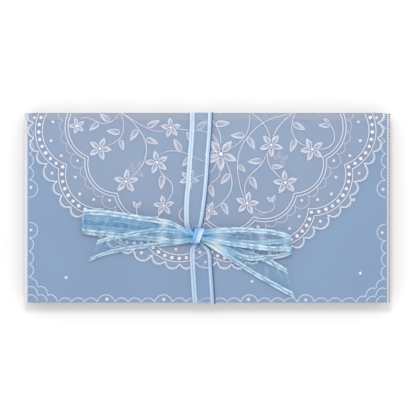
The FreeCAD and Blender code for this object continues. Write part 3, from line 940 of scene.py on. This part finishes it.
def card_pieces(card_paper, parchment, emboss):
    """The card in the tray, with a bordered parchment sheet on it."""
    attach(panel("wedding_card", 0.15, card_paper), "tray")
    low, high = node_box("card_overlay")

    def surface(points, above=0.0):
        return at_level(points, high[2] + above)

    def side(start, end, count):
        start, end = np.array(start), np.array(end)
        step = (end - start) / count
        out = np.array([step[1], -step[0]]) * 0.32
        arcs = [arc_through(start + step * k, start + step * (k + 0.5) + out, start + step * (k + 1))[:-1]
                for k in range(count)]
        return np.vstack(arcs)

    inset = 1.6
    x0, x1, y0, y1 = low[0] + inset, high[0] - inset, low[1] + inset, high[1] - inset
    long_side, short_side = 28, 13
    edge = np.vstack([side((x0, y0), (x1, y0), long_side), side((x1, y0), (x1, y1), short_side),
                      side((x1, y1), (x0, y1), long_side), side((x0, y1), (x0, y0), short_side)])
    sheet = plate("card_parchment", with_picots(edge, PICOT_PITCH, 0.3), surface, high[2] - low[2], parchment)
    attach(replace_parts(sheet, "card_overlay"), "tray")
    relief = Relief()
    relief.bead(surface(edge * [0.985, 0.97]), 0.6, 0.15, 0.9, closed=True)
    for shrink in (8.0, 9.4):
        frame_line = [(x0 + shrink, y0 + shrink), (x1 - shrink, y0 + shrink), (x1 - shrink, y1 - shrink),
                      (x0 + shrink, y1 - shrink)]
        frame_line = np.vstack([spline([frame_line[k], frame_line[(k + 1) % 4]], 2.0)[:-1] for k in range(4)])
        relief.bead(surface(frame_line), 0.45, 0.13, 0.85, closed=True)
    for sx in (-1, 1):
        centre = (sx * 58.0, 0.0)
        for k in range(5):
            relief.blade(polar(centre, 1.0, 90 + 72 * k), polar(centre, 10.0, 90 + 72 * k), 2.6, surface)
        relief.dot(*centre, 1.5, surface)
        stem = [(sx * 48, 0), (sx * 36, 7 * sx), (sx * 24, 5 * sx), (sx * 12, -4 * sx), (0, 0)]
        relief.bead(surface(spline(stem)), 0.5, 0.14, 0.9)
        for bx, by, tx, ty in ((38, 7, 33, 15), (30, 6.6, 27, -2), (18, 1, 20, 9), (12, -3.6, 7, -11)):
            relief.blade((sx * bx, sx * by), (sx * tx, sx * ty), 1.9, surface)
    made = relief.build("card_embossing", emboss)
    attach(made, "tray")


def lid_pieces(blue, inner_blue, backed, emboss, pearl):
    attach(panel("lid_board", 0.2, blue), "lid")
    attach(panel("lid_tuck_flap", 0.2, inner_blue), "lid")
    x = OVERLAY_HIGH[0]
    teeth = with_picots(np.array([(x, FRONT_Y), (x, HINGE_Y)]), SIDE_PICOT_PITCH, SIDE_PICOT_DEPTH)
    outline = np.vstack([teeth, teeth[::-1] * [-1, 1]])
    sheet = plate("lid_parchment", outline, on_overlay, OVERLAY_HIGH[2] - OVERLAY_LOW[2], backed, 9.0)
    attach(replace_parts(sheet, "lid_overlay"), "lid")
    border = Relief()

    def emboss_line(line):
        border.bead(on_overlay(line), BORDER_LINE, 0.14, 0.95)

    for sx in (-1, 1):
        for cusps, bulge in ((SIDE_SMALL, SMALL_BULGE), (SIDE_BIG, BIG_BULGE),
                             (SIDE_LOW_BIG[sx], BIG_BULGE), (SIDE_LOW[sx], SMALL_BULGE)):
            for y0, y1 in zip(cusps, cusps[1:]):
                middle = (sx * (BORDER_X - bulge), (y0 + y1) / 2)
                emboss_line(arc_through((sx * BORDER_X, y0), middle, (sx * BORDER_X, y1)))
        for row in range(3):
            for column in range(3 - row):
                start_x = SCALE_START[sx][0] - sx * SCALE_PITCH[0] * column
                start_y = SCALE_START[sx][1] + SCALE_PITCH[1] * row
                line = spline(TOP_SCALE if row == 2 else FISH_SCALE) * [-sx, 1] + [start_x, start_y]
                line = line[line[:, 1] > FRONT_Y + 0.3]
                emboss_line(line)
    for x0, x1, count in FRONT_SPANS:
        bulge = BIG_BULGE - 0.6 if count == 1 else SMALL_BULGE
        step = (x1 - x0) / count
        for k in range(count):
            a, b = x0 + step * k + 0.15, x0 + step * (k + 1) - 0.15
            middle = ((a + b) / 2, FRONT_Y + 0.2 + bulge)
            emboss_line(arc_through((a, FRONT_Y + 0.5), middle, (b, FRONT_Y + 0.5)))
    for x, y, angles, reach in SPRIGS:
        for angle in angles:
            border.blade(polar((x, y), reach * 0.15, angle), polar((x, y), reach, angle), reach * 0.2,
                         on_overlay, fill=0.4, rim=0.6, pointed=0.8)
    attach(border.build("lid_border_embossing", emboss), "lid")
    stars = pearl_drops("lid_pearls", "lid_star_pearls", 0.45, on_overlay, pearl, 0.85, 0.75)
    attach(stars, "lid")


def flap_pieces(parchment, emboss, heart, pearl):
    """The lace flap: sheet with its fold, embossed lace and vine, and pearls."""
    edge = scalloped_line(OUTER_LOBES, **EDGE_SCALLOPS, step=0.25)
    toothed = with_picots(edge, PICOT_PITCH, PICOT_DEPTH)
    sheet = plate("lace_flap", toothed, on_flap, PAPER, parchment, 3.0)
    fold = hinge_fold(0.0, FLAP_TOP - PAPER / 2)
    points, faces = folded_strip(fold, (edge[0][0], edge[-1][0]), PAPER, 60)
    strip = make_object("lace_flap_fold", points, faces, parchment)
    sheet = join(sheet, strip)
    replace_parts(sheet, "flap_sheet")
    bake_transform(sheet)

    lace = Relief()
    lace.bead(on_flap(scalloped_line(OUTER_LOBES, **EDGE_LINE)), 0.72, 0.22, 1.0)
    for root, tip in picot_points(edge, PICOT_PITCH, 1.25):
        lace.point(root, tip, 0.75, on_flap)
    for offset in (-CHANNEL_HALF_WIDTH, CHANNEL_HALF_WIDTH):
        lace.bead(on_flap(lobed_line(OUTER_LOBES, offset)), 0.66, 0.18, 1.0)
    for offset in (0.0, INNER_LINE_GAP):
        lace.bead(on_flap(lobed_line(INNER_LOBES, offset)), 0.68, 0.18, 1.0)
    lace.bead(on_flap(scalloped_line(INNER_LOBES, **HANGING_LINE)), 0.52, 0.14, 0.85, pink=0.7)
    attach(lace.build("lace_lines", emboss), "flap")

    vine, hearts = Relief(), Relief()
    for n, stem in enumerate(STEMS):
        pink = 0.9 if n in PINK_STEMS else 0.1
        vine.bead(on_flap(spline(stem), 0.01), 0.64, 0.16, 0.95, pink=pink, taper=0.45)
    for bx, by, tx, ty in LEAVES:
        length = math.hypot(tx - bx, ty - by)
        vine.blade((bx, by), (tx, ty), 0.215 * length, on_flap, fill=0.56, rim=0.95)
    for x, y, angles, reach in FLOWERS:
        for angle in angles:
            vine.blade(polar((x, y), reach * 0.18, angle), polar((x, y), reach, angle), reach * 0.2,
                       on_flap, fill=0.62, pointed=0.8)
        hearts.dot(x, y, max(0.72, reach * 0.12), on_flap, 0.4)
    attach(vine.build("vine_embossing", emboss), "flap")
    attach(hearts.build("flower_hearts", heart), "flap")

    round_drops = pearl_drops("channel_pearl_drops", "channel_pearls", 0.7, on_flap, pearl, 0.9)
    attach(round_drops, "flap")
    star_drops = pearl_drops("flap_star_drops", "flap_star_pearls", 0.45, on_flap, pearl, 0.85, 0.75)
    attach(star_drops, "flap")


def hinge_fold(outside, top):
    """(y, z) of the fold round the hinge edge: from the flap's top surface to the lid's back edge."""
    bulge = 0.27 + outside
    middle = (top + BOARD_LOW[2] + 0.4) / 2
    half = (top - BOARD_LOW[2] - 0.4) / 2
    turn = np.radians(np.linspace(90, -35, 16))
    return np.stack([HINGE_Y + bulge * np.cos(turn), middle + half * np.sin(turn)], 1)


def fold_limits():
    """Where a folded piece starts to follow the lid, and where it follows the flap."""
    at_lid = (0, (HINGE_Y + 0.5) * MM, (OVERLAY_LOW[2] - 0.1) * MM)
    at_flap = (0, (HINGE_Y + 0.2) * MM, (FLAP_TOP - 0.1) * MM)
    return at_lid, at_flap


def glue_strip(backed):
    """The parchment's margin, from the lid's back edge down the outside of the back wall."""
    low, high = node_box("flap_glue_strip")
    middle = (low[1] + high[1]) / 2
    top = hinge_fold(0.0, FLAP_TOP - PAPER / 2)[-1]
    profile = spline([(middle, low[2]), (middle, 5.0), (middle, high[2] - 0.8),
                      (middle + 0.12, high[2]), tuple(top)], 0.4)
    points, faces = folded_strip(profile, (low[0], high[0]), PAPER, 60)
    made = make_object("parchment_margin", points, faces, backed)
    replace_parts(made, "flap_glue_strip")
    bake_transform(made)


def ribbon_pieces(band, lower_band_painted_shade, bow, knot):
    """The ribbon round the box, its knot, two loops and two tails."""

    def add(name, node, a, b, body, held, rests_on, material=band, **shape):
        piece, length = ribbon(name, a, b, material, **shape)
        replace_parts(piece, node)
        if isinstance(body, str):
            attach(piece, body)
        else:
            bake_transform(piece)

    def lifted(line, heights):
        return [(x, y, z) for (x, y), z in zip(line, heights)]

    def upright(x, profile):
        return [(x, y, z) for y, z in profile]

    # x of the ribbon's two edges at the box's front edge, half way underneath and at its back edge
    front_left, front_right = -8.3, 4.7
    under_left, under_right = -9.2, 3.95
    back_left, back_right = -10.1, 3.2
    foot, half_way, underside = 0.2, 5.0, 0.12

    level = (STRAP_LOW[2] + STRAP_HIGH[2]) / 2
    fold = hinge_fold(0.25, level)
    far = fold[-1]
    over_fold = [tuple(far)] + [tuple(p) for p in fold[::-5][1:]]
    strap_left = [(-10.3, 44), (-11.2, 30), (-12.2, 16), (-13.2, 4), (-13.4, -5), (-13.0, -10.4),
                  (-10.8, -14.0)]
    strap_right = [(2.8, 44), (1.8, 30), (0.9, 16), (-0.3, 4), (-1.6, -5.4), (-2.6, -10.0), (-4.1, -14.0)]
    rises = [level + rise for rise in (0.0, 0.08, 0.18, 0.22, 0.15, 0.05, 0.0)]
    add("ribbon_upper_strap", "ribbon_strap_upper",
        upright(back_left, over_fold) + lifted(strap_left, rises),
        upright(back_right, over_fold) + lifted(strap_right, rises),
        ("lid", "flap") + fold_limits(), "stretched", ["flap_sheet"], crown=0.1, pleats=2)

    low = level - 0.2
    step_down = OVERLAY_TOP + 0.75
    lip_y = node_box("ribbon_strap_lower")[0][1] + 0.12
    drop = [level + 0.3, level, level, low, step_down, step_down, step_down - 0.1, step_down - 1.0, 10.3]
    lower_left = [(-6.2, -19.0), (-9.0, -21.8), (-10.2, -26.4), (-9.9, -34), (-9.5, -41), (-8.9, -50),
                  (-8.5, -53.9), (front_left, lip_y - 0.3), (front_left, lip_y)]
    lower_right = [(-4.6, -18.8), (-0.4, -21.8), (2.6, -25.6), (3.3, -34), (3.8, -41), (4.4, -50),
                   (4.7, -53.9), (front_right, lip_y - 0.3), (front_right, lip_y)]
    add("ribbon_lower_strap", "ribbon_strap_lower",
        lifted(lower_left, drop), lifted(lower_right, drop),
        "flap", "stretched", ["flap_sheet", "lid_overlay"], lower_band_painted_shade, crown=0.1, pleats=3, seed=1.0)

    front_low, front_high = node_box("ribbon_front_wall_run")
    front_y = (front_low[1] + front_high[1]) / 2
    climb = [(front_y, foot), (front_y, half_way), (front_y, front_high[2])]
    add("ribbon_front_run", "ribbon_front_wall_run", upright(front_left, climb), upright(front_right, climb),
        "tray", "stretched", ["front_wall"], lower_band_painted_shade, slack=0.0)
    under_low, under_high = node_box("ribbon_back_run")
    near_end, far_end = under_low[1] + 0.1, under_high[1] - 0.1
    add("ribbon_under_run", "ribbon_back_run",
        [(front_left, near_end, underside), (under_left, 0, underside), (back_left, far_end, underside)],
        [(front_right, near_end, underside), (under_right, 0, underside), (back_right, far_end, underside)],
        "tray", "stretched", ["base_panel"], lower_band_painted_shade, slack=0.0)
    back_low, back_high = node_box("ribbon_back_wall_run")
    back_y = (back_low[1] + back_high[1]) / 2
    rise = [(back_y, foot), (back_y, half_way), (back_y, back_high[2] - 0.8),
            (back_y + 0.05, back_high[2]), tuple(far)]
    add("ribbon_back_wall", "ribbon_back_wall_run", upright(back_left, rise), upright(back_right, rise),
        ("tray", "lid", (0, back_y * MM, (back_high[2] - 0.5) * MM), (0, far[0] * MM, far[1] * MM)),
        "stretched", ["back_wall"], slack=0.0)

    base = STRAP_HIGH[2]
    knot_low, knot_high = node_box("bow_knot")
    heart = (knot_low[2] + knot_high[2]) / 2
    add("bow_tail_left_ribbon", "bow_tail_left",
        [(-7.4, -14.8, heart + 0.8), (-15, -12.6, heart + 1.6), (-27, -11.4, base + 3.5),
         (-35, -12.2, base + 3.2), (-45, -13.8, base + 2.6), (-54, -16.0, base + 1.9),
         (-62.6, -18.4, base + 0.9)],
        [(-7.4, -18.6, heart - 0.6), (-15, -20.9, base + 0.8), (-25, -22.0, base + 0.35),
         (-34, -23.0, base + 0.2), (-45, -24.6, base + 0.15), (-57.5, -26.9, base + 0.2),
         (-68.3, -31.0, base + 0.8)],
        "flap", "gathered", ["flap_sheet"], bow, pleats=3, crown=0.3, ripple=0.25, wrinkle=0.08, seed=2.0,
        slack=0.5)
    add("bow_tail_right_ribbon", "bow_tail_right",
        [(-3.4, -17.2, heart - 0.5), (2.4, -19.0, base + 2.4), (9.4, -22.0, base + 1.9),
         (20, -23.6, base + 0.6), (28, -26.3, base + 0.45), (36, -29.4, base + 0.45),
         (45.4, -34.6, base + 0.7)],
        [(-3.8, -19.2, heart + 0.5), (2.2, -22.8, heart - 0.3), (9, -27.6, base + 0.9),
         (17, -32.8, base + 0.3), (28, -39.6, base + 0.1), (38, -45.4, base + 0.1),
         (50.0, -52.0, base + 0.5)],
        "flap", "gathered", ["flap_sheet", "lid_overlay"], bow, pleats=3, crown=0.3, ripple=0.2, wrinkle=0.06,
        seed=3.1, slack=0.35, crests_with_painted_highlight=((4.5, 8.5, 1.0),), crest_level=10.0)

    loop_low, loop_high = node_box("bow_loop_left")
    under, over = loop_low[2] + 0.35, loop_high[2] - 0.75
    mid = (under + over) / 2
    near, side = over - 0.4, over - 2.7
    top_edge = [(-8.0, -14.4, heart), (-13, -13.4, heart - 0.6), (-22, -10.8, under + 0.5),
                (-38, -7.8, under + 0.2), (-55, -5.2, under), (-67.5, -4.4, under + 0.1),
                (-71.0, -2.6, mid), (-68.6, -0.9, over), (-57, -1.4, over + 0.1), (-49, -2.6, over),
                (-38.5, -4.3, over - 0.1), (-28, -5.8, over), (-21, -7.3, over - 0.1),
                (-14.6, -10.6, near), (-8.0, -13.8, near)]
    bottom_edge = [(-8.0, -18.0, heart), (-13, -17.9, heart - 0.8), (-22, -17.3, under + 0.1),
                   (-38, -15.6, under - 0.2), (-55, -13.6, under - 0.2), (-68, -12.6, under),
                   (-71.6, -13.8, under + 0.9), (-69.6, -15.2, side + 0.6), (-61, -16.2, side + 0.2),
                   (-52, -17.0, side), (-42, -18.2, side), (-32, -19.1, side), (-23, -20.1, side + 0.2),
                   (-14.6, -20.5, side + 0.8), (-8.0, -19.2, near)]
    loop_shape = dict(pleats=3, crown=-0.35, ripple=0.4, wrinkle=0.1, slack=0.7)
    add("bow_loop_left_ribbon", "bow_loop_left", top_edge, bottom_edge,
        "flap", "gathered", ["bow_knot"], bow, seed=0.4, **loop_shape,
        crests_with_painted_highlight=((-25.5, 2.4, 0.7), (-41.0, 2.2, 0.25), (-16.0, 2.6, 0.35)))
    top_edge = [(-3.2, -14.0, heart), (3, -16.6, heart - 0.5), (10, -17.8, under + 0.4),
                (18, -18.2, under + 0.2), (28, -18.8, under), (36, -18.4, under), (44, -17.5, under + 0.1),
                (47.7, -16.6, mid), (46.4, -15.0, over), (38, -12.7, over + 0.1), (29.4, -11.8, over),
                (21, -11.2, over), (12.8, -11.2, over), (4.4, -11.7, mid + 1.2), (-3.2, -13.0, mid + 0.8)]
    bottom_edge = [(-3.2, -18.0, heart), (3, -20.2, heart - 0.5), (9, -22.8, under + 0.4),
                   (17, -28.2, under + 0.2), (25, -30.3, under), (33, -29.6, under),
                   (41, -28.9, under + 0.1), (46.9, -27.0, mid), (47.2, -25.0, over),
                   (38, -24.8, over + 0.1), (29.4, -24.0, over), (21, -22.8, over), (12.8, -21.8, over),
                   (4.4, -20.4, mid + 1.2), (-3.2, -18.6, mid + 0.8)]
    add("bow_loop_right_ribbon", "bow_loop_right", top_edge, bottom_edge,
        "flap", "gathered", ["bow_knot"], bow, seed=1.7, **loop_shape,
        crests_with_painted_highlight=((7.0, 5.0, 0.45), (31.0, 2.2, 0.4), (44.5, 1.8, 0.4)))

    top, bottom = knot_high[2], knot_low[2] + 0.1
    centre_y = (knot_low[1] + knot_high[1]) / 2
    half_y = (knot_high[1] - knot_low[1]) / 2 - 0.3
    wrap = [(centre_y + half_y * math.cos(a), (top + bottom) / 2 + (top - bottom) / 2 * math.sin(a))
            for a in np.radians(np.linspace(-80, 260, 15))]
    lean = 1.5
    add("bow_knot_wrap", "bow_knot",
        [(-3.2 + lean * (y - centre_y) / half_y, y, z) for y, z in wrap],
        [(-8.2 + lean * (y - centre_y) / half_y, y, z) for y, z in wrap],
        "flap", "gathered", ["ribbon_strap_upper"], knot, pleats=5, ripple=0.1, wrinkle=0.03, step=0.35,
        columns=71, seed=2.6, shown=0.42)


# ---- stage ------------------------------------------------------------------------------------------
def studio():
    """Pale floor, soft light from the upper left, and a camera straight over the decorated front."""
    size = 6.0
    mesh = bpy.data.meshes.new("floor")
    square = [(-size, -size, 0), (size, -size, 0), (size, size, 0), (-size, size, 0)]
    mesh.from_pydata(square, [], [(0, 1, 2, 3)])
    floor = add_object("floor", mesh)
    s = Shader("pale floor", Roughness=0.9, Specular_IOR_Level=0.1)
    s.set(Base_Color=(0.73, 0.713, 0.695, 1.0))
    mesh.materials.append(s.material)

    world = bpy.data.worlds.new("studio")
    bpy.context.scene.world = world
    world.use_nodes = True
    background = world.node_tree.nodes["Background"]
    background.inputs["Color"].default_value = (1.0, 1.0, 1.0, 1.0)
    background.inputs["Strength"].default_value = 1.19

    lamp = bpy.data.lights.new("key", "AREA")
    lamp.shape = "DISK"
    lamp.size = 0.3
    lamp.energy = 4.6
    key = add_object("key", lamp)
    place = Vector((-0.03, 0.42, 1.0))
    key.location = place
    key.rotation_euler = (-place).to_track_quat("-Z", "Y").to_euler()

    lens, view_width = 200.0, 238.5 * MM
    centre_x, centre_y = 0.37, -0.12
    camera = bpy.data.cameras.new("camera")
    camera.lens = lens
    camera.sensor_width = 36.0
    camera.clip_start, camera.clip_end = 0.05, 50.0
    holder = add_object("camera", camera)
    height = view_width * lens / camera.sensor_width
    holder.location = (centre_x * MM, centre_y * MM, OVERLAY_TOP * MM + height)
    bpy.context.scene.camera = holder
    bpy.context.scene.view_settings.view_transform = "Standard"


# ---- build ------------------------------------------------------------------------------------------
studio()
BLUE = card_stock("pearlescent blue card", srgb(107, 131, 161), srgb(101, 125, 155))
INNER_BLUE = card_stock("blue card inside", srgb(130, 154, 184), srgb(122, 146, 176), 0.5)
LINER = plain_paper("lining paper", srgb(206, 210, 220), srgb(196, 201, 212))
CARD = plain_paper("white card", srgb(220, 219, 214), srgb(211, 210, 205), 0.5)
BACKED = backed_parchment("parchment over blue card", srgb(105, 129, 158), srgb(100, 123, 152),
                          srgb(194, 189, 195), srgb(180, 177, 184), BOARD_HIGH[0] * MM)
PARCHMENT = free_parchment("translucent parchment", (0.395, 0.455, 0.58, 1), (0.41, 0.445, 0.51, 1),
                           0.135, 0.3)
CARD_VEIL = (0.6, 0.64, 0.70, 1)
CARD_PARCHMENT = free_parchment("card parchment", CARD_VEIL, CARD_VEIL, 0.3, 0.3)
EMBOSS = embossing("embossed parchment", 1.0, (196, 200, 214), (196, 182, 204))
HEART = embossing("raised flower hearts", 1.0, (216, 217, 228))
BORDER_EMBOSS = embossing("embossed border", 0.93, (192, 200, 218))
PEARL = pearl_paint("pearl paint")
TIGHT = srgb(86, 148, 192)
# The straps, lower band, bow and knot are one ribbon in four colourings. The lower band's is darker, painted
# shade. The bow's satin is lighter with darker lines, painted highlight and shade. The knot's is lighter all
# over, painted light against its own shade.
BAND = organza("organza ribbon", srgb(194, 207, 221), srgb(136, 164, 192), srgb(150, 180, 212), TIGHT, 0.2)
LOWER_BAND_PAINTED_SHADE = organza("organza ribbon below the bow", srgb(183, 197, 213), srgb(120, 151, 184),
                     srgb(134, 168, 206), TIGHT, 0.2)
BOW = organza("organza bow", srgb(208, 223, 228), srgb(74, 132, 170), srgb(100, 154, 190), TIGHT,
              0.2, 0.8, 0.4, 0.25, painted_shadow_depth=0.15)
KNOT_PAINTED_LIGHT = organza("organza knot", srgb(218, 230, 240), srgb(178, 206, 234), srgb(132, 180, 224),
               srgb(136, 182, 226), 0.8, 0.97, 0.3, lines=0.15, painted_shadow_depth=0.0)

tray_pieces(BLUE, INNER_BLUE, LINER)
card_pieces(CARD, CARD_PARCHMENT, EMBOSS)
lid_pieces(BLUE, INNER_BLUE, BACKED, BORDER_EMBOSS, PEARL)
flap_pieces(PARCHMENT, EMBOSS, HEART, PEARL)
glue_strip(BACKED)
ribbon_pieces(BAND, LOWER_BAND_PAINTED_SHADE, BOW, KNOT_PAINTED_LIGHT)
